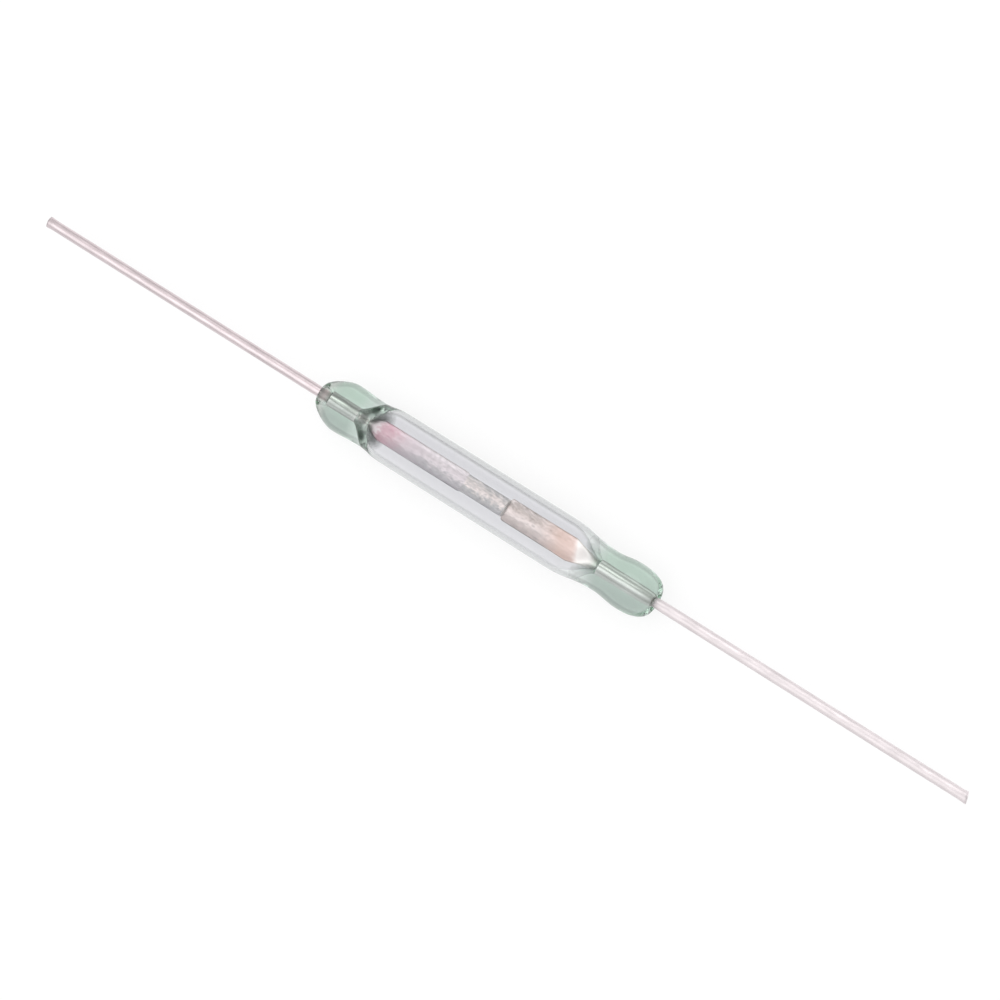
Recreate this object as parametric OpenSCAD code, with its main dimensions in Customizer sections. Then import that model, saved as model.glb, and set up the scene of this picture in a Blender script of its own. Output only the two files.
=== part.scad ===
// Glass reed switch: two flattened wires sealed into the ends of a small glass tube.
// +X runs along the leads, +Z is square to the blade faces, and the origin is at the middle of the glass.

/* [Glass tube] */
// Length of the glass from end to end
glass_length = 19.8; // [18:0.1:24]
// Outside diameter of the straight tube
glass_d = 2.75; // [2.5:0.05:3.2]
// Wall of the straight tube
glass_wall = 0.22; // [0.16:0.02:0.3]
// Diameter of the rounded rim that stands round each lead
rim_d = 1; // [0.9:0.05:1.4]

/* [Left end of the glass] */
// Depth of the dimple round the left lead
left_dimple_depth = 0.8; // [0.2:0.05:0.9]
// Distance from the left end to the fullest part of the bulge
left_bulge_at = 1.45; // [1:0.05:1.8]
// Shape of the left nose, from 0 for a straight cone to 1 for a square shoulder
left_fullness = 0.35; // [0.2:0.05:0.8]
// How far the left bulge lies below the surface of the tube
left_bulge_drop = 0.055; // [0:0.005:0.15]
// Distance from the left end to the neck behind the bulge
left_neck_at = 3; // [2.6:0.1:3.2]
// How far the left neck is drawn in below the surface of the tube
left_neck_drop = 0.135; // [0.1:0.005:0.2]
// Distance from the left end to the start of the straight tube
left_shoulder_at = 4.3; // [4.1:0.1:5]
// Length of solid glass from the left end to the cavity
left_seal = 2.3; // [2:0.1:3]
// Length over which the cavity opens from the left wire to the full bore
left_opening = 2; // [1.5:0.1:2.4]
// Shape of the left end of the cavity, from 0 for an arrow point to 1 for a round end
left_roundness = 0.1; // [0:0.1:1]

/* [Right end of the glass] */
// Depth of the dimple round the right lead
right_dimple_depth = 0.3; // [0.2:0.05:0.6]
// Distance from the right end to the fullest part of the bulge
right_bulge_at = 1.45; // [1:0.05:1.8]
// Shape of the right nose, from 0 for a straight cone to 1 for a square shoulder
right_fullness = 0.6; // [0.2:0.05:0.8]
// How far the right bulge lies below the surface of the tube
right_bulge_drop = 0.115; // [0:0.005:0.15]
// Distance from the right end to the neck behind the bulge
right_neck_at = 3; // [2.6:0.1:3.2]
// How far the right neck is drawn in below the surface of the tube
right_neck_drop = 0.255; // [0.15:0.005:0.3]
// Distance from the right end to the start of the straight tube
right_shoulder_at = 5.5; // [5:0.1:6]
// Length of solid glass from the right end to the cavity
right_seal = 3.2; // [2.8:0.1:3.6]
// Length over which the cavity opens from the right wire to the full bore
right_opening = 2.3; // [2:0.1:2.8]
// Shape of the right end of the cavity, from 0 for an arrow point to 1 for a round end
right_roundness = 0.1; // [0:0.1:1]

/* [Leads] */
// Diameter of a tinned lead outside the glass
lead_d = 0.55; // [0.48:0.01:0.6]
// Length of a lead from the end of the glass to its cut end
lead_length = 17.35; // [8:0.05:24]
// Thickness of the tin on a lead
tin = 0.015; // [0.005:0.005:0.02]
// Length over which the tin thins out before the glass
tin_fade = 0.6; // [0.6:0.05:1.2]

/* [Reed blades] */
// Width of the left blade
left_blade_width = 1.06; // [1:0.02:1.3]
// Width of the right blade
right_blade_width = 1.22; // [1:0.02:1.3]
// Thickness of a blade
blade_thickness = 0.16; // [0.12:0.01:0.18]
// Width of the trimmed contact tip of a blade
contact_width = 0.94; // [0.7:0.02:0.98]
// Length by which the two contact tips overlap
contact_overlap = 2.4; // [1.2:0.1:3]
// Gap between the open contacts
contact_gap = 0.12; // [0.06:0.01:0.2]
// Radius of the corners of a blade
corner_radius = 0.12; // [0.04:0.02:0.2]
// Length over which the round wire is swaged to the flat left blade
left_swage_length = 1.3; // [1:0.1:1.8]
// Length over which the round wire is swaged to the flat right blade
right_swage_length = 1.5; // [1:0.1:1.8]
// Round wire that shows in the cavity before the swage starts
wire_bare = 0.1; // [0.05:0.05:0.3]

/* [Hidden] */
glass_colour = [0.76, 0.85, 0.8, 0.45];
lead_colour = [0.86, 0.83, 0.82];
blade_colour = [0.77, 0.73, 0.71];

tube_r = glass_d / 2;
bore_r = tube_r - glass_wall;
rim_r = rim_d / 2;
lead_r = lead_d / 2;
wire_r = lead_r - tin;
glass_end = glass_length / 2;

// Where each swage starts and each blade takes over, measured from the middle of the glass
left_swage_start = glass_end - left_seal - wire_bare;
right_swage_start = glass_end - right_seal - wire_bare;
left_root = left_swage_start - left_swage_length;
right_root = right_swage_start - right_swage_length;
contact_reach = contact_overlap / 2;
blade_height = (contact_gap + blade_thickness) / 2;

// The swage starts a little inside the wire, and the die leaves a fine step there
swage_sunk = 0.05;
die_step = 0.006;

// Smoothness of the curves
curve_steps = 10;
swage_rings = 8;
ring_points = 32;
// Handle lengths that give a curve the form of a quarter ellipse or of an even S
ellipse_handle = 0.5523;
s_handle = 0.42;
// Angle round a ring at which its round edge gives way to its flat face
edge_angle = 45;
// Handle of the arrow-pointed cavity end, as shares of its length and height
arrow_handle = [0.3, 0.15];
round_handle = [0, ellipse_handle];
$fn = 64;

function mix(a, b, share) = a + (b - a) * share;

function smooth(share) = share * share * (3 - 2 * share);

// Points of a cubic curve after its first point
function curve(a, handle_a, handle_b, b) = [
    for (i = [1 : curve_steps])
        let (t = i / curve_steps, s = 1 - t)
            s * s * s * a + 3 * s * s * t * handle_a + 3 * s * t * t * handle_b + t * t * t * b
];

// S between two places where the outline runs along the tube
function along(a, b) = curve(
    a,
    [mix(a.x, b.x, s_handle), a.y],
    [mix(b.x, a.x, s_handle), b.y],
    b
);

// S between two places where the outline runs straight out from the lead
function outward(a, b) = curve(
    a,
    [a.x, mix(a.y, b.y, s_handle)],
    [b.x, mix(b.y, a.y, s_handle)],
    b
);

// Nose that turns over from the rim to a place where the outline runs along the tube
function round_over(a, b, fullness) = curve(
    a,
    [a.x, mix(a.y, b.y, fullness)],
    [mix(b.x, a.x, fullness), b.y],
    b
);

// Outside of one melted end, as distances from the end and radii, from the wire to the straight tube
function outside(dimple_depth, bulge_at, bulge_drop, fullness, neck_at, neck_drop, shoulder_at) =
    let (
        seat = [dimple_depth, wire_r],
        rim = [0, rim_r],
        bulge = [bulge_at, tube_r - bulge_drop],
        neck = [neck_at, tube_r - neck_drop],
        shoulder = [shoulder_at, tube_r]
    )
    concat(
        [seat],
        outward(seat, rim),
        round_over(rim, bulge, fullness),
        along(bulge, neck),
        along(neck, shoulder)
    );

// One end of the cavity, as distances from the end and radii, from the wire to the full bore
function inside(seal, opening, roundness) =
    let (
        point = [seal, wire_r],
        full = [seal + opening, bore_r],
        handle = mix(arrow_handle, round_handle, roundness)
    )
    concat(
        [point],
        curve(
            point,
            [mix(point.x, full.x, handle.x), mix(point.y, full.y, handle.y)],
            [mix(full.x, point.x, ellipse_handle), bore_r],
            full
        )
    );

// Outlines in the plane that is turned round the axis: radius first, then place along the axis
function at_left(outline) = [for (p = outline) [p.y, p.x - glass_end]];

function at_right(outline) = [for (p = reversed(outline)) [p.y, glass_end - p.x]];

function reversed(list) = [for (i = [len(list) - 1 : -1 : 0]) list[i]];

// Point of a ring that is a circle in the wire at share 0 and the blade's round-edged section at share 1.
// The width opens evenly and the thickness is pressed down along an S.
function ring_point(angle, share, blade_width) =
    let (
        side = sign(cos(angle)),
        face = sign(sin(angle)),
        lean = acos(min(1, abs(cos(angle)))),
        core_r = wire_r - die_step,
        edge_r = blade_thickness / 2,
        flat = blade_width / 2 - edge_r,
        section = lean <= edge_angle
            ? [flat + edge_r * cos(lean * 90 / edge_angle), edge_r * sin(lean * 90 / edge_angle)]
            : [flat * (90 - lean) / (90 - edge_angle), edge_r]
    )
    [
        mix(core_r * cos(angle), side * section.x, share),
        mix(core_r * sin(angle), face * section.y, smooth(share)) + blade_height * smooth(share)
    ];

// Stretch of wire that is pressed from round to flat, starting at the origin and running along +X
module swage(length, blade_width) {
    shares = [for (ring = [0 : swage_rings]) ring / swage_rings];
    rings = concat([[-swage_sunk, 0]], [for (share = shares) [share * length, share]]);
    points = [
        for (ring = rings)
            for (i = [0 : ring_points - 1])
                let (p = ring_point((i + 0.5) * 360 / ring_points, ring[1], blade_width))
                    [ring[0], p.x, p.y]
    ];
    sides = [
        for (ring = [0 : swage_rings])
            for (i = [0 : ring_points - 1])
                let (
                    here = ring * ring_points,
                    next = (i + 1) % ring_points
                )
                    [here + i, here + ring_points + i, here + ring_points + next, here + next]
    ];
    first = [for (i = [0 : ring_points - 1]) i];
    last = [for (i = reversed(first)) (swage_rings + 1) * ring_points + i];
    polyhedron(points, concat([first], sides, [last]));
}

// Tinned lead, bare wire and swage of one reed that comes in from -X
module reed_lead(swage_start, swage_length, blade_width) {
    wire_length = lead_length + glass_end - swage_start;
    translate([-swage_start - wire_length, 0, 0])
        rotate([0, 90, 0])
            rotate_extrude()
                polygon([
                    [0, 0],
                    [lead_r, 0],
                    [lead_r, lead_length - tin_fade],
                    [wire_r, lead_length],
                    [wire_r, wire_length],
                    [0, wire_length]
                ]);
    translate([-swage_start, 0, 0])
        swage(swage_length, blade_width);
}

// Flat strip along +X with a square start and round corners at its far end
module strip(length, width) {
    square_length = length - corner_radius;
    translate([0, -width / 2])
        square([square_length, width]);
    translate([0, corner_radius - width / 2])
        square([length, width - 2 * corner_radius]);
    for (side = [-1, 1])
        translate([square_length, side * (width / 2 - corner_radius)])
            circle(r = corner_radius);
}

// Section of a blade, with full round edges
module blade_section(blade_width) {
    flat = blade_width - blade_thickness;
    square([flat, blade_thickness], center = true);
    for (side = [-1, 1])
        translate([side * flat / 2, 0])
            circle(d = blade_thickness);
}

// Blade of one reed that comes in from -X, from its root to its trimmed contact tip
module reed_blade(root, blade_width) {
    blade_length = root + contact_reach;
    full_length = blade_length - contact_overlap;
    translate([-root, 0, blade_height])
        intersection() {
            rotate([90, 0, 90])
                linear_extrude(blade_length)
                    blade_section(blade_width);
            translate([0, 0, -blade_thickness])
                linear_extrude(2 * blade_thickness) {
                    strip(full_length, blade_width);
                    strip(blade_length, contact_width);
                }
        }
}

// The right reed is the left one turned half round about Y
module turned() {
    rotate([0, 180, 0])
        children();
}

module glass_envelope() {
    left_outside = outside(
        left_dimple_depth, left_bulge_at, left_bulge_drop, left_fullness,
        left_neck_at, left_neck_drop, left_shoulder_at
    );
    right_outside = outside(
        right_dimple_depth, right_bulge_at, right_bulge_drop, right_fullness,
        right_neck_at, right_neck_drop, right_shoulder_at
    );
    left_inside = inside(left_seal, left_opening, left_roundness);
    right_inside = inside(right_seal, right_opening, right_roundness);
    outline = concat(
        at_left(left_outside),
        at_right(right_outside),
        reversed(concat(at_left(left_inside), at_right(right_inside)))
    );
    color(glass_colour)
        rotate([0, 90, 0])
            rotate_extrude()
                polygon(outline);
}

module left_lead() {
    color(lead_colour)
        reed_lead(left_swage_start, left_swage_length, left_blade_width);
}

module left_reed_blade() {
    color(blade_colour)
        reed_blade(left_root, left_blade_width);
}

module right_lead() {
    color(lead_colour)
        turned()
            reed_lead(right_swage_start, right_swage_length, right_blade_width);
}

module right_reed_blade() {
    color(blade_colour)
        turned()
            reed_blade(right_root, right_blade_width);
}

glass_envelope();
left_lead();
left_reed_blade();
right_lead();
right_reed_blade();
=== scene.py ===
import math

import bpy
from mathutils import Matrix, Vector, noise


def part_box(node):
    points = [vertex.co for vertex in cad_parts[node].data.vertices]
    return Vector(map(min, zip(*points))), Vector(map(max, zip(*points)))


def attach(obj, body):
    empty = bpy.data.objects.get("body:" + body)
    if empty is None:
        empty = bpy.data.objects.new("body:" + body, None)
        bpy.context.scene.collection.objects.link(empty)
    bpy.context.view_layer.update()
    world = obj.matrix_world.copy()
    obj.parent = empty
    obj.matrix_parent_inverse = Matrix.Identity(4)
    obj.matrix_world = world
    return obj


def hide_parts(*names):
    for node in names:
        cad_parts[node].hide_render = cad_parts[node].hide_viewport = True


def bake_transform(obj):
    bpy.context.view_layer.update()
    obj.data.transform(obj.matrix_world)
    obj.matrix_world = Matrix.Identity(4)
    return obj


# Looks of a glass reed switch, built round its fixed frame. All sizes are in metres.
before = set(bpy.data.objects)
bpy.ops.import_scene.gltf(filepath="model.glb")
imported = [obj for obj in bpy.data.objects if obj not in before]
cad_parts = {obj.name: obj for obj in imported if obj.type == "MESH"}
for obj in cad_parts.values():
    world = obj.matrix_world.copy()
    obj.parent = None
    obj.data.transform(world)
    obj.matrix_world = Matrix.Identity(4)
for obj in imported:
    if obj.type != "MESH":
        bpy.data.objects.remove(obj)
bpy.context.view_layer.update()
MM = 0.001

# Glass: the tube and its two melted ends, with the outline of the solid
GLASS_LOW, GLASS_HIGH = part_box("glass_envelope")
GLASS_END = GLASS_HIGH.x
TUBE_R = GLASS_HIGH.z
GLASS_WALL = 0.22 * MM
BORE_R = TUBE_R - GLASS_WALL
RIM_R = 0.5 * MM
GLASS_SEGMENTS = 160
CURVE_STEPS = 16
# Lengths of the handles of curves, as shares of what they span
ELLIPSE_HANDLE = 0.5523
S_HANDLE = 0.42
ARROW_HANDLE = (0.3, 0.15)
ROUND_HANDLE = (0.0, ELLIPSE_HANDLE)
# The glass reaches this far into the wire, so that no film of air shows round it
WETTING = 0.012 * MM
# How far the hand-melted ends lie inside a true round, and where along X that starts and how it grows
MELT_WOBBLE = 0.012 * MM
MELT_WOBBLE_SCALE = 1.1 * MM
MELT_STARTS = BORE_R * 4
MELT_GROWS = BORE_R * 2
TUBE_STEPS = 12

LEFT_END = {
    "side": -1,
    "dimple_depth": 0.8 * MM,
    "bulge_at": 1.45 * MM,
    "bulge_drop": 0.055 * MM,
    "fullness": 0.35,
    "neck_at": 3 * MM,
    "neck_drop": 0.135 * MM,
    "shoulder_at": 4.3 * MM,
    "seal": 2.3 * MM,
    "opening": 2.0 * MM,
    "roundness": 0.1,
    # Painted dark shade where the cavity opens: its strength, where it fades along X, and its share
    # in the middle
    "painted_shade": 0.96,
    "painted_shade_fade": (0.25 * MM, 0.85 * MM),
    "painted_shade_middle": 0.1,
}
RIGHT_END = {
    "side": 1,
    "dimple_depth": 0.3 * MM,
    "bulge_at": 1.45 * MM,
    "bulge_drop": 0.115 * MM,
    "fullness": 0.6,
    "neck_at": 3 * MM,
    "neck_drop": 0.255 * MM,
    "shoulder_at": 5.5 * MM,
    "seal": 3.2 * MM,
    "opening": 2.3 * MM,
    "roundness": 0.1,
    # Painted dark shade where the cavity opens: its strength, where it fades along X, and its share
    # in the middle
    "painted_shade": 0.45,
    "painted_shade_fade": (-0.1 * MM, 0.5 * MM),
    "painted_shade_middle": 0.0,
}

# Reeds: round tinned leads that are swaged into flat blades
LEAD_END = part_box("right_lead")[1].x
LEAD_R = 0.275 * MM
WIRE_R = 0.26 * MM
TIN_FADE = 0.6 * MM
BLADE_LOW, BLADE_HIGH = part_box("left_reed_blade")
BLADE_HALF_THICKNESS = (BLADE_HIGH.z - BLADE_LOW.z) / 2
BLADE_HEIGHT = (BLADE_HIGH.z + BLADE_LOW.z) / 2
CONTACT_HALF_WIDTH = 0.47 * MM
CONTACT_REACH = BLADE_HIGH.x
CORNER_R = 0.12 * MM
LEFT_REED = {
    "root": -BLADE_LOW.x,
    "half_width": BLADE_HIGH.y,
    "swage": 1.3 * MM,
    "turned": False,
    "dish": 0.05 * MM,
    "cut_slope": -0.06,
    "ripple_seed": 0.5,
}
RIGHT_REED = {
    "root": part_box("right_reed_blade")[1].x,
    "half_width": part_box("right_reed_blade")[1].y,
    "swage": 1.5 * MM,
    "turned": True,
    "dish": -0.04 * MM,
    "cut_slope": 0.3,
    "ripple_seed": 7.5,
}
# Points of a ring, the first of which lies half a step from +Y
RING_POINTS = 64
FIRST_POINT = 0.5
# Rings of each stretch of a reed
PINCH_RINGS = 4
TIN_FADE_RINGS = 4
SEALED_RINGS = 12
SWAGE_RINGS = 24
BLADE_RINGS = 16
STEP_RINGS = 10
CONTACT_RINGS = 12
TIP_RINGS = 8
# Up to this angle a flat ring goes round its edge, and beyond it along its face
EDGE_ANGLE = math.radians(45)
# Exponents of the outline of an edge: rolled round, or sheared nearly square
ROLLED_EDGE = 2.0
SHEARED_EDGE = 5.0
# Tumbling rounds the sheared end of a contact tip
TIP_ROUND = 0.045 * MM
# The cutter leaves each lead with a slanting, slightly pinched end
PINCH_LENGTH = 0.35 * MM
PINCH_FLATTEN = 0.86
PINCH_SPREAD = 1.07
CUT_EDGE = 0.025 * MM
LEAD_RIPPLE = 0.005
LEAD_RIPPLE_SCALE = 0.9 * MM
LEAD_STEP = 0.25 * MM


def mix(a, b, share):
    """Value that lies a share of the way from a to b."""
    return a + (b - a) * share


def smooth(share):
    """Share that starts and ends gently."""
    return share * share * (3 - 2 * share)


def held(share):
    """Share held between 0 and 1."""
    return max(0.0, min(1.0, share))


def steps(start, end, count):
    """Evenly spaced values from start up to, but without, end."""
    return [mix(start, end, i / count) for i in range(count)]


def curve(a, handle_a, handle_b, b):
    """Points of a cubic curve after its first point."""
    points = []
    for i in range(1, CURVE_STEPS + 1):
        t = i / CURVE_STEPS
        s = 1 - t
        weights = (s ** 3, 3 * s * s * t, 3 * s * t * t, t ** 3)
        corners = (a, handle_a, handle_b, b)
        points.append(tuple(sum(w * p[k] for w, p in zip(weights, corners)) for k in (0, 1)))
    return points


def along(a, b):
    """S between two places where the outline runs along the tube."""
    return curve(a, (mix(a[0], b[0], S_HANDLE), a[1]), (mix(b[0], a[0], S_HANDLE), b[1]), b)


def outward(a, b):
    """S between two places where the outline runs straight out from the lead."""
    return curve(a, (a[0], mix(a[1], b[1], S_HANDLE)), (b[0], mix(b[1], a[1], S_HANDLE)), b)


def round_over(a, b, fullness):
    """Nose that turns over from the rim to a place where the outline runs along the tube."""
    return curve(a, (a[0], mix(a[1], b[1], fullness)), (mix(b[0], a[0], fullness), b[1]), b)


def outside(end):
    """Outside of one melted end, as distances from the end and radii, from the wire to the tube."""
    foot = (end["dimple_depth"], WIRE_R - WETTING)
    seat = (end["dimple_depth"], WIRE_R)
    rim = (0.0, RIM_R)
    bulge = (end["bulge_at"], TUBE_R - end["bulge_drop"])
    neck = (end["neck_at"], TUBE_R - end["neck_drop"])
    shoulder = (end["shoulder_at"], TUBE_R)
    return (
        [foot, seat]
        + outward(seat, rim)
        + round_over(rim, bulge, end["fullness"])
        + along(bulge, neck)
        + along(neck, shoulder)
    )


def inside(end):
    """One end of the cavity, as distances from the end and radii, from the wire to the bore."""
    foot = (end["seal"], WIRE_R - WETTING)
    point = (end["seal"], WIRE_R)
    full = (end["seal"] + end["opening"], BORE_R)
    handle = [mix(a, r, end["roundness"]) for a, r in zip(ARROW_HANDLE, ROUND_HANDLE)]
    handle_a = (mix(point[0], full[0], handle[0]), mix(point[1], full[1], handle[1]))
    handle_b = (mix(full[0], point[0], ELLIPSE_HANDLE), BORE_R)
    return [foot, point] + curve(point, handle_a, handle_b, full)


def placed(outline, end):
    """The same outline as places along X and radii, at its end of the glass."""
    return [(end["side"] * (GLASS_END - distance), radius) for distance, radius in outline]


def straight(a, b):
    """Points inside a straight run between two places on the tube."""
    return [(mix(a[0], b[0], i / TUBE_STEPS), a[1]) for i in range(1, TUBE_STEPS)]


def glass_outline():
    """Closed outline of the glass: along its outside, and back through its cavity."""
    left_out = placed(outside(LEFT_END), LEFT_END)
    right_out = placed(outside(RIGHT_END), RIGHT_END)[::-1]
    left_in = placed(inside(LEFT_END), LEFT_END)[::-1]
    right_in = placed(inside(RIGHT_END), RIGHT_END)
    return (
        left_out
        + straight(left_out[-1], right_out[0])
        + right_out
        + right_in
        + straight(right_in[-1], left_in[0])
        + left_in
    )


def melted(x, radius, angle):
    """Radius with the faint unevenness of glass that was melted by hand."""
    near_end = held((abs(x) - MELT_STARTS) / MELT_GROWS)
    y = math.cos(angle) * radius
    z = math.sin(angle) * radius
    wave = noise.noise(Vector((x, y, z)) / MELT_WOBBLE_SCALE)
    share = smooth(near_end) * held((radius - RIM_R) / (BORE_R - RIM_R))
    return radius - MELT_WOBBLE * share * (1 + wave)


def mesh_object(name, points, faces):
    """Smooth piece with the given points and faces."""
    mesh = bpy.data.meshes.new(name)
    mesh.from_pydata(points, [], faces)
    mesh.validate()
    mesh.polygons.foreach_set("use_smooth", [True] * len(mesh.polygons))
    mesh.update()
    piece = bpy.data.objects.new(name, mesh)
    bpy.context.scene.collection.objects.link(piece)
    return piece


def glass_piece():
    """The glass, turned about X from its outline."""
    outline = glass_outline()
    points = []
    for x, radius in outline:
        for i in range(GLASS_SEGMENTS):
            angle = 2 * math.pi * i / GLASS_SEGMENTS
            real = melted(x, radius, angle)
            points.append((x, real * math.cos(angle), real * math.sin(angle)))
    faces = []
    for row in range(len(outline)):
        here = row * GLASS_SEGMENTS
        ahead = (row + 1) % len(outline) * GLASS_SEGMENTS
        for i in range(GLASS_SEGMENTS):
            following = (i + 1) % GLASS_SEGMENTS
            faces.append((here + following, ahead + following, ahead + i, here + i))
    return mesh_object("sealed_glass_tube", points, faces)


def ring_point(angle, ring):
    """Point of a ring, which is a circle at share 0 and flat with shaped edges at share 1."""
    side = math.copysign(1, math.cos(angle))
    face = math.copysign(1, math.sin(angle))
    lean = math.acos(min(1.0, abs(math.cos(angle))))
    thick = ring["half_thickness"]
    flat = ring["half_width"] - thick
    if lean <= EDGE_ANGLE:
        turn = lean / EDGE_ANGLE * math.pi / 2
        power = 2 / ring["edge"]
        section_y = flat + thick * math.cos(turn) ** power
        section_z = thick * math.sin(turn) ** power
    else:
        section_y = flat * (math.pi / 2 - lean) / (math.pi / 2 - EDGE_ANGLE)
        section_z = thick
    dish = ring["dish"] * max(0.0, 1 - (section_y / ring["half_width"]) ** 2)
    share = ring["share"]
    y = mix(ring["radius"] * math.cos(angle) * ring["spread"], side * section_y, share)
    z = mix(ring["radius"] * math.sin(angle) * ring["flatten"], face * section_z, smooth(share))
    return ring["x"] + ring["slope"] * y, y, z + BLADE_HEIGHT * smooth(share) - dish


def ring_at(x, **changes):
    """Ring of bare wire at a place along X, with changes to it."""
    ring = {
        "x": x,
        "radius": WIRE_R,
        "share": 0.0,
        "half_width": CONTACT_HALF_WIDTH,
        "half_thickness": BLADE_HALF_THICKNESS,
        "edge": ROLLED_EDGE,
        "dish": 0.0,
        "spread": 1.0,
        "flatten": 1.0,
        "slope": 0.0,
    }
    ring.update(changes)
    return ring


def lead_rings(reed):
    """Cut end and tinned lead up to the glass."""
    slope = reed["cut_slope"]
    start = -LEAD_END + abs(slope) * LEAD_R * PINCH_SPREAD
    pinch = {"spread": PINCH_SPREAD, "flatten": PINCH_FLATTEN, "slope": slope}
    rings = [
        ring_at(start, radius=LEAD_R - CUT_EDGE, **pinch),
        ring_at(start + CUT_EDGE / 2, radius=LEAD_R, **pinch),
    ]
    for i in range(1, PINCH_RINGS + 1):
        share = i / PINCH_RINGS
        rings.append(
            ring_at(
                start + CUT_EDGE + PINCH_LENGTH * share,
                radius=LEAD_R,
                spread=mix(PINCH_SPREAD, 1, smooth(share)),
                flatten=mix(PINCH_FLATTEN, 1, smooth(share)),
                slope=slope * (1 - share),
            )
        )
    first = rings[-1]["x"] + LEAD_STEP
    last = -GLASS_END - TIN_FADE
    for x in steps(first, last, round((last - first) / LEAD_STEP)):
        wave = noise.noise(Vector((x / LEAD_RIPPLE_SCALE, reed["ripple_seed"], 0)))
        rings.append(ring_at(x, radius=LEAD_R * (1 - LEAD_RIPPLE * (1 + wave))))
    for x in steps(last, -GLASS_END, TIN_FADE_RINGS):
        rings.append(ring_at(x, radius=mix(LEAD_R, WIRE_R, (x - last) / TIN_FADE)))
    return rings


def rounded_half_width(x, end, half_width):
    """Half width of a strip whose corners are rounded where it ends."""
    into = max(0.0, x - (end - CORNER_R))
    return half_width - CORNER_R + math.sqrt(max(0.0, CORNER_R ** 2 - into ** 2))


def rounded_half_thickness(x, end):
    """Half thickness of a contact tip whose edges are rounded where it ends."""
    into = max(0.0, x - (end - TIP_ROUND))
    return BLADE_HALF_THICKNESS - TIP_ROUND + math.sqrt(max(0.0, TIP_ROUND ** 2 - into ** 2))


def blade_rings(reed):
    """Sealed wire, swage, blade and contact tip.

    The blade is a little dished between its root and its contact.
    """
    root = reed["root"]
    half_width = reed["half_width"]
    swage_start = -root - reed["swage"]
    step_at = -CONTACT_REACH
    rings = [ring_at(x) for x in steps(-GLASS_END, swage_start, SEALED_RINGS)]
    for x in steps(swage_start, -root, SWAGE_RINGS):
        share = (x - swage_start) / reed["swage"]
        dish = reed["dish"] * smooth(share)
        rings.append(ring_at(x, share=share, half_width=half_width, dish=dish))
    for x in steps(-root, step_at - CORNER_R, BLADE_RINGS):
        fade = 1 - smooth((x + root) / (step_at + root))
        rings.append(ring_at(x, share=1.0, half_width=half_width, dish=reed["dish"] * fade))
    for x in steps(step_at - CORNER_R, step_at, STEP_RINGS):
        width = max(CONTACT_HALF_WIDTH, rounded_half_width(x, step_at, half_width))
        edge = mix(ROLLED_EDGE, SHEARED_EDGE, (x - step_at + CORNER_R) / CORNER_R)
        rings.append(ring_at(x, share=1.0, half_width=width, edge=edge))
    tip = CONTACT_REACH
    for x in steps(step_at, tip - CORNER_R, CONTACT_RINGS):
        rings.append(ring_at(x, share=1.0, half_width=CONTACT_HALF_WIDTH, edge=SHEARED_EDGE))
    for i in range(TIP_RINGS + 1):
        x = tip - CORNER_R + CORNER_R * math.sin(math.pi / 2 * i / TIP_RINGS)
        width = rounded_half_width(x, tip, CONTACT_HALF_WIDTH)
        thickness = rounded_half_thickness(x, tip)
        rings.append(
            ring_at(x, share=1.0, half_width=width, half_thickness=thickness, edge=SHEARED_EDGE)
        )
    return rings


def reed_piece(name, reed):
    """One reed in one piece, from its cut end to its contact tip.

    The right one is turned half round about Y.
    """
    rings = lead_rings(reed) + blade_rings(reed)
    points = []
    for ring in rings:
        for i in range(RING_POINTS):
            x, y, z = ring_point(2 * math.pi * (i + FIRST_POINT) / RING_POINTS, ring)
            points.append((-x, y, -z) if reed["turned"] else (x, y, z))
    faces = []
    for row in range(len(rings) - 1):
        here = row * RING_POINTS
        ahead = here + RING_POINTS
        for i in range(RING_POINTS):
            following = (i + 1) % RING_POINTS
            faces.append((here + i, here + following, ahead + following, ahead + i))
    last = (len(rings) - 1) * RING_POINTS
    faces.append(tuple(range(RING_POINTS - 1, -1, -1)))
    faces.append(tuple(range(last, last + RING_POINTS)))
    piece = mesh_object(name, points, faces)
    for cut_face in piece.data.polygons[-2:]:
        cut_face.use_smooth = False
    return piece


def new_material(name):
    """Material with its nodes, its links and its shader."""
    material = bpy.data.materials.new(name)
    material.use_nodes = True
    nodes = material.node_tree.nodes
    return material, nodes, material.node_tree.links, nodes["Principled BSDF"]


# Where a new stop of a colour ramp lies until it is placed
NEW_STOP = 0.5


def set_stops(ramp, stops):
    """Sets the places and colours of a colour ramp."""
    while len(ramp.elements) < len(stops):
        ramp.elements.new(NEW_STOP)
    for element, (position, colour) in zip(ramp.elements, stops):
        element.position = position
        element.color = (*colour, 1)


def math_node(nodes, operation, value=None):
    """Arithmetic on two numbers, of which the second may be fixed."""
    node = nodes.new("ShaderNodeMath")
    node.operation = operation
    if value is not None:
        node.inputs[1].default_value = value
    return node


def range_node(nodes, source, result):
    """Maps a stretch of values to another, and holds its ends beyond it."""
    node = nodes.new("ShaderNodeMapRange")
    node.inputs["From Min"].default_value = source[0]
    node.inputs["From Max"].default_value = source[1]
    node.inputs["To Min"].default_value = result[0]
    node.inputs["To Max"].default_value = result[1]
    return node


def rest_of(nodes):
    """What is left of 1 when a share is taken from it."""
    node = math_node(nodes, "SUBTRACT")
    node.inputs[0].default_value = 1.0
    return node


def colour_mix(nodes):
    """Mix of two colours."""
    node = nodes.new("ShaderNodeMix")
    node.data_type = "RGBA"
    return node


def colour_product(nodes):
    """One colour times another."""
    node = colour_mix(nodes)
    node.blend_type = "MULTIPLY"
    node.inputs["Factor"].default_value = 1.0
    return node


def scaled_places(nodes, links, coords, scale):
    """Places on the object, scaled along each axis."""
    node = nodes.new("ShaderNodeMapping")
    node.inputs["Scale"].default_value = scale
    links.new(coords.outputs["Object"], node.inputs["Vector"])
    return node.outputs["Vector"]


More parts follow.
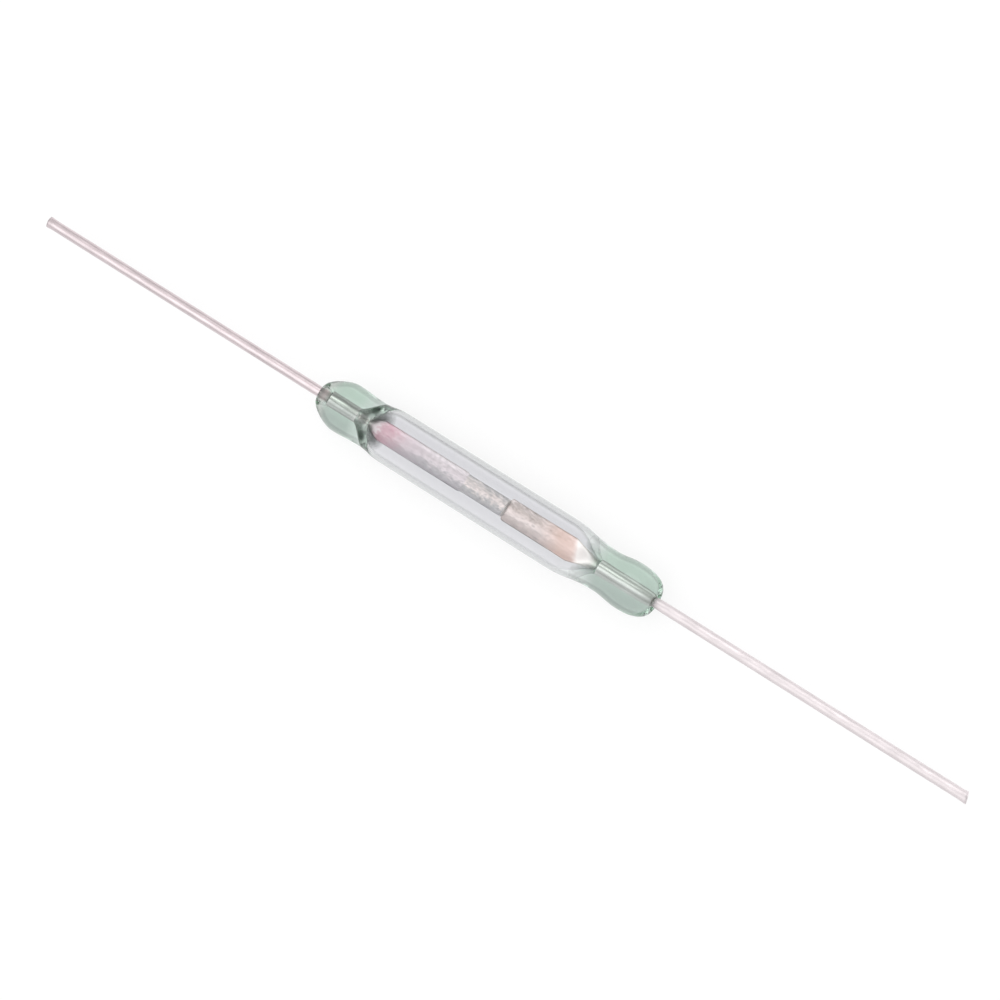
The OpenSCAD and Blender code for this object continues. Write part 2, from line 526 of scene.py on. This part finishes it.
def noise_node(nodes, links, vector, scale, detail):
    """Noise over the given places."""
    node = nodes.new("ShaderNodeTexNoise")
    node.inputs["Scale"].default_value = scale
    node.inputs["Detail"].default_value = detail
    links.new(vector, node.inputs["Vector"])
    return node


GLASS_IOR = 1.5
GLASS_ROUGHNESS = (0.0, 0.03)
# Colour that is left of white light as it goes on through glass
ABSORPTION_COLOUR = (0.2, 0.6, 0.34)
ABSORPTION_DENSITY = 110
# Colour at the surface of the melted ends, a painted-shade copy for their -Y side and a painted-light
# copy for their +Y side, and of the drawn tube
MELTED_SHADED_AND_LIT = ((0.55, 0.58, 0.58), (0.70, 0.785, 0.735))
DRAWN_COLOUR = (0.905, 0.895, 0.92)
# How far smears shift the change from one side's colour to the other's
MELTED_UNEVEN = 0.25
# Noise that smears the glass: density along each axis, detail, and where most of its values lie
SMEAR_DENSITY = (300, 900, 900)
SMEAR_DETAIL = 3.0
SMEAR_SPREAD = (0.3, 0.7)
# The thin lip round the left dimple is clearer than the solid glass behind it
LIP_COLOUR = (0.95, 0.93, 0.92)
LIP_FADE = (0.55 * MM, 0.9 * MM)
# Painted shade at a glancing angle: how far a surface turns away where it starts and stops to grey,
# and the light it then lets through
OUTSIDE_GLANCE = (0.36, 0.46)
OUTSIDE_GREY = 0.58
BORE_GLANCE = (0.48, 0.64)
BORE_GREY = 0.46
# The bore's painted shade is stronger on its +Y side: these are its shares of the full effect on the
# -Y and +Y sides
BORE_SIDES = (0.15, 1.0)
# Radii, as shares of the tube's, that part the bore from the outside in the tube and at its ends
TUBE_LIMIT = 0.87
MELTED_LIMIT = 0.4
# Painted dark shade in the bore where the cavity opens. It reaches further in beside the blades.
PAINTED_SHADE_COLOUR = (0.025, 0.055, 0.035)
PAINTED_SHADE_LEAD_IN = 0.1 * MM
PAINTED_SHADE_SLANT = 1.1
PAINTED_SHADE_HALF_WIDTH = 0.6 * MM
PAINTED_SHADE_SIDES = (0.03 * MM, 0.18 * MM)
# Smears thin the painted shade to this share, between these values of their noise
PAINTED_SHADE_THIN = 0.6
PAINTED_SHADE_PATCHES = (0.3, 0.55)
# Glass at a seal takes the colour of the drawn tube within this distance of the cavity
SEAL_FADE = 0.4 * MM


def tone_along(nodes, links, along_share, melted_colour):
    """Colour by place along the tube, for the painted-shade or the painted-light copy of the melted
    ends' colour.
    """
    length = 2 * GLASS_END
    tint = nodes.new("ShaderNodeValToRGB")
    set_stops(tint.color_ramp, [
        (LIP_FADE[0] / length, LIP_COLOUR),
        (LIP_FADE[1] / length, melted_colour),
        (LEFT_END["seal"] / length, melted_colour),
        ((LEFT_END["seal"] + SEAL_FADE) / length, DRAWN_COLOUR),
        (1 - (RIGHT_END["seal"] + SEAL_FADE) / length, DRAWN_COLOUR),
        (1 - RIGHT_END["seal"] / length, melted_colour),
    ])
    links.new(along_share, tint.inputs["Fac"])
    return tint.outputs["Color"]


def glass_tones(nodes, links, places, along_share, smear):
    """Colour of the glass, which goes unevenly from the painted shade of its -Y side to the painted
    light of its +Y side.
    """
    side = range_node(nodes, (-TUBE_R / 2, TUBE_R / 2), (0.0, 1.0))
    uneven = range_node(nodes, SMEAR_SPREAD, (-MELTED_UNEVEN, MELTED_UNEVEN))
    place = math_node(nodes, "ADD")
    tone = colour_mix(nodes)
    links.new(places.outputs["Y"], side.inputs["Value"])
    links.new(smear, uneven.inputs["Value"])
    links.new(side.outputs["Result"], place.inputs[0])
    links.new(uneven.outputs["Result"], place.inputs[1])
    links.new(place.outputs["Value"], tone.inputs["Factor"])
    for melted_colour, socket in zip(MELTED_SHADED_AND_LIT, ("A", "B")):
        links.new(tone_along(nodes, links, along_share, melted_colour), tone.inputs[socket])
    return tone.outputs["Result"]


def outside_mask(nodes, links, places, along_share):
    """1 on the outside of the tube, and 0 in its bore and its dimples."""
    length = 2 * GLASS_END
    melted_limit = (MELTED_LIMIT * TUBE_R) ** 2
    limit_share = nodes.new("ShaderNodeValToRGB")
    set_stops(limit_share.color_ramp, [
        (LEFT_END["seal"] / length, (0, 0, 0)),
        ((LEFT_END["seal"] + LEFT_END["opening"] / 2) / length, (1, 1, 1)),
        (1 - (RIGHT_END["seal"] + RIGHT_END["opening"] / 2) / length, (1, 1, 1)),
        (1 - RIGHT_END["seal"] / length, (0, 0, 0)),
    ])
    limit = range_node(nodes, (0.0, 1.0), (melted_limit, (TUBE_LIMIT * TUBE_R) ** 2))
    y_square = math_node(nodes, "MULTIPLY")
    z_square = math_node(nodes, "MULTIPLY")
    square = math_node(nodes, "ADD")
    is_outside = math_node(nodes, "GREATER_THAN")
    links.new(along_share, limit_share.inputs["Fac"])
    links.new(limit_share.outputs["Color"], limit.inputs["Value"])
    for name, node in (("Y", y_square), ("Z", z_square)):
        links.new(places.outputs[name], node.inputs[0])
        links.new(places.outputs[name], node.inputs[1])
    links.new(y_square.outputs["Value"], square.inputs[0])
    links.new(z_square.outputs["Value"], square.inputs[1])
    links.new(square.outputs["Value"], is_outside.inputs[0])
    links.new(limit.outputs["Result"], is_outside.inputs[1])
    return is_outside.outputs["Value"]


def painted_glass_shade(nodes, links, places, is_outside):
    """Painted shade: share of light that is let through, by how far the surface turns away, stronger
    on the +Y side of the bore.
    """
    glance = nodes.new("ShaderNodeLayerWeight")
    outside_grey = range_node(nodes, OUTSIDE_GLANCE, (1.0, OUTSIDE_GREY))
    bore_grey = range_node(nodes, BORE_GLANCE, (0.0, 1.0 - BORE_GREY))
    side_share = range_node(nodes, (-BORE_R, BORE_R), BORE_SIDES)
    bore_dim = math_node(nodes, "MULTIPLY")
    bore_left = rest_of(nodes)
    picked = nodes.new("ShaderNodeMix")
    links.new(glance.outputs["Facing"], outside_grey.inputs["Value"])
    links.new(glance.outputs["Facing"], bore_grey.inputs["Value"])
    links.new(places.outputs["Y"], side_share.inputs["Value"])
    links.new(bore_grey.outputs["Result"], bore_dim.inputs[0])
    links.new(side_share.outputs["Result"], bore_dim.inputs[1])
    links.new(bore_dim.outputs["Value"], bore_left.inputs[1])
    links.new(is_outside, picked.inputs["Factor"])
    links.new(bore_left.outputs["Value"], picked.inputs["A"])
    links.new(outside_grey.outputs["Result"], picked.inputs["B"])
    return picked.outputs["Result"]


def painted_shade_share(nodes, links, places, is_outside, smear, end):
    """Strength of the painted dark shade in one end of the bore."""
    outwards = math_node(nodes, "MULTIPLY", -end["side"])
    distance = math_node(nodes, "ADD", GLASS_END - end["seal"])
    starts = math_node(nodes, "GREATER_THAN", -PAINTED_SHADE_LEAD_IN)
    across_y = math_node(nodes, "ABSOLUTE")
    within = math_node(nodes, "MINIMUM", PAINTED_SHADE_HALF_WIDTH)
    slant = math_node(nodes, "MULTIPLY", PAINTED_SHADE_SLANT)
    slanted = math_node(nodes, "SUBTRACT")
    fade = range_node(nodes, end["painted_shade_fade"], (end["painted_shade"], 0.0))
    sides = range_node(nodes, PAINTED_SHADE_SIDES, (end["painted_shade_middle"], 1.0))
    patchy = range_node(nodes, PAINTED_SHADE_PATCHES, (PAINTED_SHADE_THIN, 1.0))
    in_bore = rest_of(nodes)
    share = fade.outputs["Result"]
    links.new(places.outputs["X"], outwards.inputs[0])
    links.new(outwards.outputs["Value"], distance.inputs[0])
    links.new(distance.outputs["Value"], starts.inputs[0])
    links.new(places.outputs["Y"], across_y.inputs[0])
    links.new(across_y.outputs["Value"], within.inputs[0])
    links.new(within.outputs["Value"], slant.inputs[0])
    links.new(across_y.outputs["Value"], sides.inputs["Value"])
    links.new(distance.outputs["Value"], slanted.inputs[0])
    links.new(slant.outputs["Value"], slanted.inputs[1])
    links.new(slanted.outputs["Value"], fade.inputs["Value"])
    links.new(smear, patchy.inputs["Value"])
    links.new(is_outside, in_bore.inputs[1])
    for factor in (
        starts.outputs["Value"],
        sides.outputs["Result"],
        in_bore.outputs["Value"],
        patchy.outputs["Result"],
    ):
        product = math_node(nodes, "MULTIPLY")
        links.new(share, product.inputs[0])
        links.new(factor, product.inputs[1])
        share = product.outputs["Value"]
    return share


def glass_material():
    """Clear drawn glass, green where light crosses a lot of it, with painted shade at a glancing
    angle, on the -Y side of its melted ends and where the cavity opens.
    """
    material, nodes, links, shader = new_material("green_glass")
    shader.inputs["IOR"].default_value = GLASS_IOR
    coords = nodes.new("ShaderNodeTexCoord")
    places = nodes.new("ShaderNodeSeparateXYZ")
    along_share = range_node(nodes, (-GLASS_END, GLASS_END), (0.0, 1.0))
    smeared = scaled_places(nodes, links, coords, SMEAR_DENSITY)
    smear = noise_node(nodes, links, smeared, 1.0, SMEAR_DETAIL)
    gloss = range_node(nodes, (0.0, 1.0), GLASS_ROUGHNESS)
    shade = colour_product(nodes)
    # Painted dark shade over the glass colour, which also takes away transmission
    with_painted_shade = colour_mix(nodes)
    with_painted_shade.inputs["B"].default_value = (*PAINTED_SHADE_COLOUR, 1)
    clear = rest_of(nodes)
    absorb = nodes.new("ShaderNodeVolumeAbsorption")
    absorb.inputs["Color"].default_value = (*ABSORPTION_COLOUR, 1)
    absorb.inputs["Density"].default_value = ABSORPTION_DENSITY
    links.new(coords.outputs["Object"], places.inputs["Vector"])
    links.new(places.outputs["X"], along_share.inputs["Value"])
    links.new(smear.outputs["Fac"], gloss.inputs["Value"])
    links.new(gloss.outputs["Result"], shader.inputs["Roughness"])
    is_outside = outside_mask(nodes, links, places, along_share.outputs["Result"])
    painted_shades = math_node(nodes, "ADD")
    for end, place in ((LEFT_END, painted_shades.inputs[0]), (RIGHT_END, painted_shades.inputs[1])):
        links.new(painted_shade_share(nodes, links, places, is_outside, smear.outputs["Fac"], end), place)
    painted_shade = painted_shades.outputs["Value"]
    tones = glass_tones(nodes, links, places, along_share.outputs["Result"], smear.outputs["Fac"])
    links.new(tones, shade.inputs["A"])
    links.new(painted_glass_shade(nodes, links, places, is_outside), shade.inputs["B"])
    links.new(shade.outputs["Result"], with_painted_shade.inputs["A"])
    links.new(painted_shade, with_painted_shade.inputs["Factor"])
    links.new(painted_shade, clear.inputs[1])
    links.new(clear.outputs["Value"], shader.inputs["Transmission Weight"])
    links.new(with_painted_shade.outputs["Result"], shader.inputs["Base Color"])
    links.new(absorb.outputs["Volume"], nodes["Material Output"].inputs["Volume"])
    return material


# Rolling draws the blotches out along X by this much
STREAK_STRETCH = 2.2
BLOTCH_DETAIL = 3.0
BLOTCH_ROUGHNESS = 0.6
# Blotches make the bands wander one way or the other between these noise values
WANDER_SPREAD = (0.25, 0.75)
# Mottling is this much finer than the blotches, and goes from dark to light between these values
MOTTLE_FINENESS = 1.3
MOTTLE_CONTRAST = (0.3, 0.62)
# Fine lines: density along X as a share of that across, detail, and depth as a share of width
LINE_SQUEEZE = 0.04
LINE_DETAIL = 4.0
LINE_DEPTH = 0.25


def metal_material(
    name, bands, half_width, wander, roughness, blotch, lines, bump, mottle, tints=None, bare=1.0
):
    """Drawn or rolled metal.

    Bands of colour run along X, from -Y to +Y, and noise makes them wander. Fine lines along X
    show in gloss and relief. Mottling darkens the bands, and tints lie over them by place along X.
    Metal that is less than fully bare has a dull skin of oxide.
    """
    material, nodes, links, shader = new_material(name)
    shader.inputs["Metallic"].default_value = bare
    coords = nodes.new("ShaderNodeTexCoord")
    places = nodes.new("ShaderNodeSeparateXYZ")
    across_share = range_node(nodes, (-half_width, half_width), (0.0, 1.0))
    across_share.clamp = False
    rolled = scaled_places(nodes, links, coords, (1 / STREAK_STRETCH, 1, 1))
    patches = noise_node(nodes, links, rolled, 1 / blotch, BLOTCH_DETAIL)
    patches.inputs["Roughness"].default_value = BLOTCH_ROUGHNESS
    drift = range_node(nodes, WANDER_SPREAD, (-wander, wander))
    place = math_node(nodes, "ADD")
    tone = nodes.new("ShaderNodeValToRGB")
    set_stops(tone.color_ramp, bands)
    speckle = noise_node(nodes, links, rolled, MOTTLE_FINENESS / blotch, BLOTCH_DETAIL)
    shade = range_node(nodes, MOTTLE_CONTRAST, (1.0 - mottle, 1.0))
    mottled = colour_product(nodes)
    drawn = scaled_places(nodes, links, coords, (LINE_SQUEEZE / lines, 1 / lines, 1 / lines))
    grain = noise_node(nodes, links, drawn, 1.0, LINE_DETAIL)
    gloss = range_node(nodes, (0.0, 1.0), roughness)
    relief = nodes.new("ShaderNodeBump")
    relief.inputs["Strength"].default_value = bump
    relief.inputs["Distance"].default_value = lines * LINE_DEPTH
    links.new(coords.outputs["Object"], places.inputs["Vector"])
    links.new(places.outputs["Y"], across_share.inputs["Value"])
    links.new(patches.outputs["Fac"], drift.inputs["Value"])
    links.new(across_share.outputs["Result"], place.inputs[0])
    links.new(drift.outputs["Result"], place.inputs[1])
    links.new(place.outputs["Value"], tone.inputs["Fac"])
    links.new(speckle.outputs["Fac"], shade.inputs["Value"])
    links.new(tone.outputs["Color"], mottled.inputs["A"])
    links.new(shade.outputs["Result"], mottled.inputs["B"])
    links.new(grain.outputs["Fac"], gloss.inputs["Value"])
    links.new(gloss.outputs["Result"], shader.inputs["Roughness"])
    links.new(grain.outputs["Fac"], relief.inputs["Height"])
    links.new(relief.outputs["Normal"], shader.inputs["Normal"])
    colour = mottled.outputs["Result"]
    if tints:
        colour = tinted(nodes, links, places, drift, colour, tints)
    links.new(colour, shader.inputs["Base Color"])
    return material


def tinted(nodes, links, places, drift, colour, tints):
    """The same colour with tints over it: places along X, their colours and how far each covers."""
    stops = tints["stops"]
    first = stops[0][0]
    last = stops[-1][0]
    lean = math_node(nodes, "MULTIPLY", tints["lean"])
    leaning = math_node(nodes, "ADD")
    share = range_node(nodes, (first, last), (0.0, 1.0))
    ragged = math_node(nodes, "MULTIPLY", tints["ragged"])
    place = math_node(nodes, "ADD")
    ramp = nodes.new("ShaderNodeValToRGB")
    set_stops(ramp.color_ramp, [((x - first) / (last - first), tone) for x, tone, cover in stops])
    for element, (x, tone, cover) in zip(ramp.color_ramp.elements, stops):
        element.color[3] = cover
    over = colour_mix(nodes)
    links.new(places.outputs["Y"], lean.inputs[0])
    links.new(places.outputs["X"], leaning.inputs[0])
    links.new(lean.outputs["Value"], leaning.inputs[1])
    links.new(leaning.outputs["Value"], share.inputs["Value"])
    links.new(drift.outputs["Result"], ragged.inputs[0])
    links.new(share.outputs["Result"], place.inputs[0])
    links.new(ragged.outputs["Value"], place.inputs[1])
    links.new(place.outputs["Value"], ramp.inputs["Fac"])
    links.new(ramp.outputs["Alpha"], over.inputs["Factor"])
    links.new(colour, over.inputs["A"])
    links.new(ramp.outputs["Color"], over.inputs["B"])
    return over.outputs["Result"]


# Material slots of a reed
TINNED, SEALED, BLADE, PLATED, SHEARED = range(5)
# Length of the strip of a contact face that lies under the other blade's tip. It gets the bright,
# dull sheared metal as painted light that lifts the shade in the gap.
GAP_MOUTH = 0.2 * MM
# A face looks along an axis when its normal has more than this share of it
LOOKS_ALONG = 0.5


def dress_reed(piece, reed, end, materials):
    """One material for each stretch of the reed.

    Its sheared tip is dull. A strip of its contact face under the other blade's tip gets the same
    bright, dull metal, as painted light that lifts the shade in the gap.
    """
    for material in materials:
        piece.data.materials.append(material)
    direction = -1 if reed["turned"] else 1
    for face in piece.data.polygons:
        inward = face.center.x * direction
        if inward < -GLASS_END + end["dimple_depth"]:
            face.material_index = TINNED
        elif inward < -reed["root"] - reed["swage"]:
            face.material_index = SEALED
        elif inward < -CONTACT_REACH:
            face.material_index = BLADE
        elif inward > CONTACT_REACH - CORNER_R and face.normal.x * direction > LOOKS_ALONG:
            face.material_index = SHEARED
        elif inward < GAP_MOUTH - CONTACT_REACH and face.normal.z * direction < -LOOKS_ALONG:
            face.material_index = SHEARED
        else:
            face.material_index = PLATED


glass = glass_piece()
left_reed = reed_piece("left_reed", LEFT_REED)
right_reed = reed_piece("right_reed", RIGHT_REED)

glass.data.materials.append(glass_material())
# The bands of a wire are laid out over this many times its width, which leaves room to wander
BAND_ROOM = 2
# Light and dark bands across the tinned leads are painted highlights and painted shade
left_tin = metal_material(
    "left_tin",
    bands=(
        (0.30, (0.69, 0.61, 0.63)),
        (0.355, (0.63, 0.55, 0.565)),
        (0.425, (0.73, 0.655, 0.67)),
        (0.49, (0.61, 0.535, 0.55)),
        (0.56, (0.575, 0.50, 0.515)),
        (0.62, (0.74, 0.645, 0.66)),
        (0.69, (0.78, 0.68, 0.70)),
    ),
    half_width=LEAD_R * BAND_ROOM,
    wander=0.05,
    roughness=(0.24, 0.42),
    blotch=0.5 * MM,
    lines=0.05 * MM,
    bump=0.25,
    mottle=0.1,
)
right_tin = metal_material(
    "right_tin",
    bands=(
        (0.29, (0.76, 0.705, 0.72)),
        (0.40, (0.80, 0.745, 0.755)),
        (0.45, (0.73, 0.68, 0.69)),
        (0.495, (0.68, 0.63, 0.645)),
        (0.54, (0.78, 0.725, 0.735)),
        (0.60, (0.95, 0.885, 0.90)),
        (0.69, (0.91, 0.845, 0.86)),
    ),
    half_width=LEAD_R * BAND_ROOM,
    wander=0.04,
    roughness=(0.5, 0.66),
    blotch=0.5 * MM,
    lines=0.05 * MM,
    bump=0.25,
    mottle=0.1,
)
# Bright bands across the sealed wires are painted highlights, and the dark lines between and beside
# them are painted shade
left_sealed = metal_material(
    "left_sealed_wire",
    bands=(
        (0.235, (0.50, 0.46, 0.46)),
        (0.31, (0.92, 0.85, 0.87)),
        (0.40, (0.98, 0.91, 0.93)),
        (0.475, (0.34, 0.32, 0.32)),
        (0.56, (0.90, 0.83, 0.84)),
        (0.66, (0.50, 0.46, 0.47)),
    ),
    half_width=WIRE_R * BAND_ROOM,
    wander=0.04,
    roughness=(0.14, 0.28),
    blotch=0.6 * MM,
    lines=0.05 * MM,
    bump=0.2,
    mottle=0.1,
)
right_sealed = metal_material(
    "right_sealed_wire",
    bands=(
        (0.28, (0.98, 0.91, 0.93)),
        (0.36, (0.74, 0.68, 0.69)),
        (0.46, (0.86, 0.79, 0.81)),
        (0.54, (0.60, 0.55, 0.56)),
        (0.60, (0.96, 0.88, 0.90)),
        (0.68, (0.99, 0.92, 0.94)),
        (0.75, (0.44, 0.40, 0.41)),
    ),
    half_width=WIRE_R * BAND_ROOM,
    wander=0.03,
    roughness=(0.12, 0.24),
    blotch=0.6 * MM,
    lines=0.05 * MM,
    bump=0.2,
    mottle=0.05,
)
# Bright, dull metal of the sheared tips, partly the cut metal's own brightness and partly painted
# light that lifts the shade at the tip's end face
sheared = metal_material(
    "sheared_tip",
    bands=((0.2, (0.93, 0.87, 0.83)), (0.5, (0.98, 0.94, 0.91)), (0.8, (0.96, 0.91, 0.87))),
    half_width=RIGHT_REED["half_width"],
    wander=0.3,
    roughness=(0.3, 0.45),
    blotch=0.3 * MM,
    lines=0.04 * MM,
    bump=0.3,
    mottle=0.1,
    bare=0.3,
)
# The blade's bands are painted shade on its -Y half and painted light on its +Y half
left_blade_metal = metal_material(
    "left_blade_metal",
    bands=(
        (0.0, (0.315, 0.305, 0.315)),
        (0.28, (0.36, 0.345, 0.355)),
        (0.50, (0.66, 0.605, 0.61)),
        (0.68, (0.62, 0.57, 0.575)),
        (0.95, (0.745, 0.69, 0.69)),
    ),
    half_width=LEFT_REED["half_width"],
    wander=0.22,
    roughness=(0.25, 0.42),
    blotch=0.13 * MM,
    lines=0.03 * MM,
    bump=0.4,
    mottle=0.24,
    tints={
        "lean": -0.4,
        "ragged": 0.4,
        "stops": (
            (-7.6 * MM, (0.72, 0.63, 0.63), 1.0),
            (-6.5 * MM, (0.78, 0.70, 0.70), 1.0),
            (-6.1 * MM, (0.54, 0.22, 0.285), 0.6),
            (-5.7 * MM, (0.54, 0.24, 0.30), 0.5),
            (-4.9 * MM, (0.50, 0.36, 0.40), 0.4),
            (-4.2 * MM, (0.46, 0.38, 0.41), 0.3),
            (-3.2 * MM, (0.52, 0.46, 0.48), 0.0),
        ),
    },
)
# The blade's bands are painted highlights and painted shade across its width
right_blade_metal = metal_material(
    "right_blade_metal",
    bands=(
        (0.0, (0.36, 0.325, 0.305)),
        (0.16, (0.45, 0.385, 0.36)),
        (0.30, (0.495, 0.43, 0.405)),
        (0.50, (0.74, 0.66, 0.62)),
        (0.68, (0.60, 0.525, 0.485)),
        (0.78, (0.41, 0.35, 0.315)),
        (0.90, (0.52, 0.455, 0.425)),
        (0.98, (0.72, 0.655, 0.62)),
    ),
    half_width=RIGHT_REED["half_width"],
    wander=0.19,
    roughness=(0.25, 0.42),
    blotch=0.14 * MM,
    lines=0.03 * MM,
    bump=0.4,
    mottle=0.24,
    tints={
        "lean": 0.5,
        "ragged": 0.08,
        "stops": (
            (1.2 * MM, (0.84, 0.76, 0.71), 0.0),
            (3.0 * MM, (0.70, 0.55, 0.50), 0.0),
            (4.3 * MM, (0.62, 0.42, 0.335), 0.6),
            (4.8 * MM, (0.68, 0.47, 0.39), 0.6),
            (5.2 * MM, (0.78, 0.58, 0.50), 0.65),
            (5.5 * MM, (0.99, 0.94, 0.89), 1.0),
            (6.7 * MM, (0.99, 0.95, 0.91), 1.0),
        ),
    },
)
# The plating's bands are painted shade along the edges of the contacts and a painted highlight along
# their middle
plating = metal_material(
    "contact_plating",
    bands=(
        (0.0, (0.32, 0.32, 0.325)),
        (0.3, (0.42, 0.41, 0.405)),
        (0.52, (0.80, 0.725, 0.68)),
        (0.75, (0.58, 0.545, 0.52)),
        (1.0, (0.38, 0.37, 0.365)),
    ),
    half_width=CONTACT_HALF_WIDTH,
    wander=0.28,
    roughness=(0.3, 0.45),
    blotch=0.13 * MM,
    lines=0.03 * MM,
    bump=0.4,
    mottle=0.34,
)
left_metals = [left_tin, left_sealed, left_blade_metal, plating, sheared]
right_metals = [right_tin, right_sealed, right_blade_metal, plating, sheared]
dress_reed(left_reed, LEFT_REED, LEFT_END, left_metals)
dress_reed(right_reed, RIGHT_REED, RIGHT_END, right_metals)

# Floor under the glass
FLOOR_SIZE = 3.0
floor_half = FLOOR_SIZE / 2
floor_z = GLASS_LOW.z
floor = mesh_object(
    "floor",
    [
        (-floor_half, -floor_half, floor_z),
        (floor_half, -floor_half, floor_z),
        (floor_half, floor_half, floor_z),
        (-floor_half, floor_half, floor_z),
    ],
    [(0, 1, 2, 3)],
)
FLOOR_COLOUR = (0.97, 0.97, 0.97)
FLOOR_ROUGHNESS = 0.9
FLOOR_GLOW = 0.8


def floor_material():
    """White paper that shows white to the eye, metal and glass, and still takes a soft shadow."""
    material, nodes, links, shader = new_material("white_floor")
    shader.inputs["Base Color"].default_value = (*FLOOR_COLOUR, 1)
    shader.inputs["Roughness"].default_value = FLOOR_ROUGHNESS
    shader.inputs["Specular IOR Level"].default_value = 0.0
    rays = nodes.new("ShaderNodeLightPath")
    seen = math_node(nodes, "MAXIMUM")
    seen_all = math_node(nodes, "MAXIMUM")
    share = math_node(nodes, "MULTIPLY", FLOOR_GLOW)
    glow = nodes.new("ShaderNodeEmission")
    blend = nodes.new("ShaderNodeMixShader")
    links.new(rays.outputs["Is Camera Ray"], seen.inputs[0])
    links.new(rays.outputs["Is Glossy Ray"], seen.inputs[1])
    links.new(seen.outputs["Value"], seen_all.inputs[0])
    links.new(rays.outputs["Is Transmission Ray"], seen_all.inputs[1])
    links.new(seen_all.outputs["Value"], share.inputs[0])
    links.new(share.outputs["Value"], blend.inputs["Fac"])
    links.new(shader.outputs["BSDF"], blend.inputs[1])
    links.new(glow.outputs["Emission"], blend.inputs[2])
    links.new(blend.outputs["Shader"], nodes["Material Output"].inputs["Surface"])
    return material


floor.data.materials.append(floor_material())


# Brightness of the tent by the cosine of the angle from the middle of its lit side
TENT_MIDDLE = Vector((-0.15, -0.25, 0.95)).normalized()
TENT_LEVELS = ((0.0, 0.42), (0.3, 0.52), (0.6, 0.68), (0.85, 0.90), (0.97, 1.0))
TENT_STRENGTH = 1.45


def studio_world():
    """Soft white tent: bright overhead and greyer away from its lit side."""
    world = bpy.data.worlds.new("studio")
    world.use_nodes = True
    nodes = world.node_tree.nodes
    links = world.node_tree.links
    coords = nodes.new("ShaderNodeTexCoord")
    facing = nodes.new("ShaderNodeVectorMath")
    facing.operation = "DOT_PRODUCT"
    facing.inputs[1].default_value = TENT_MIDDLE
    levels = nodes.new("ShaderNodeValToRGB")
    set_stops(levels.color_ramp, [(cosine, (level, level, level)) for cosine, level in TENT_LEVELS])
    links.new(coords.outputs["Generated"], facing.inputs[0])
    links.new(facing.outputs["Value"], levels.inputs["Fac"])
    links.new(levels.outputs["Color"], nodes["Background"].inputs["Color"])
    nodes["Background"].inputs["Strength"].default_value = TENT_STRENGTH
    bpy.context.scene.world = world


def soft_lamp(name, place, size, power):
    """Round soft lamp that points at the middle of the switch."""
    lamp = bpy.data.lights.new(name, "AREA")
    lamp.shape = "DISK"
    lamp.size = size
    lamp.energy = power
    lit = bpy.data.objects.new(name, lamp)
    lit.location = place
    lit.rotation_euler = (-Vector(place)).to_track_quat("-Z", "Y").to_euler()
    bpy.context.scene.collection.objects.link(lit)


OVERHEAD_DISTANCE = 0.5
studio_world()
soft_lamp("overhead_softbox", place=tuple(TENT_MIDDLE * OVERHEAD_DISTANCE), size=0.40, power=0.2)
soft_lamp("side_softbox", place=(-0.05, 0.30, 0.40), size=0.26, power=0.16)

# Camera: it looks down from the right, and the picture is turned so that the leads slant
CAMERA_TILT = math.radians(16)
PICTURE_TURN = math.radians(32.1)
CAMERA_DISTANCE = 150 * MM
FRAME_SHIFT = (0.676 * MM, -0.193 * MM)
LENS_MM = 111.8
SENSOR_MM = 36.0
CLIP_START = 1 * MM

towards = Vector((math.sin(CAMERA_TILT), 0, math.cos(CAMERA_TILT)))
lengthwise = Vector((math.cos(CAMERA_TILT), 0, -math.sin(CAMERA_TILT)))
across = Vector((0, 1, 0))
picture_right = lengthwise * math.cos(PICTURE_TURN) + across * math.sin(PICTURE_TURN)
picture_up = across * math.cos(PICTURE_TURN) - lengthwise * math.sin(PICTURE_TURN)
camera_data = bpy.data.cameras.new("camera")
camera_data.lens = LENS_MM
camera_data.sensor_width = SENSOR_MM
camera_data.clip_start = CLIP_START
camera = bpy.data.objects.new("camera", camera_data)
turn = Matrix((picture_right, picture_up, towards)).transposed()
camera.matrix_world = Matrix.Translation(
    picture_right * FRAME_SHIFT[0] + picture_up * FRAME_SHIFT[1] + towards * CAMERA_DISTANCE
) @ turn.to_4x4()
bpy.context.scene.collection.objects.link(camera)
bpy.context.scene.camera = camera

bpy.context.scene.view_settings.view_transform = "Standard"
# Light crosses many faces of glass
LIGHT_BOUNCES = 32
bpy.context.scene.cycles.max_bounces = LIGHT_BOUNCES
bpy.context.scene.cycles.transmission_bounces = LIGHT_BOUNCES
bpy.context.scene.cycles.glossy_bounces = LIGHT_BOUNCES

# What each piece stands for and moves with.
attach(glass, "switch_body")
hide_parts("glass_envelope")
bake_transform(left_reed)
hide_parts("left_lead", "left_reed_blade")
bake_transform(right_reed)
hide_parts("right_lead", "right_reed_blade")
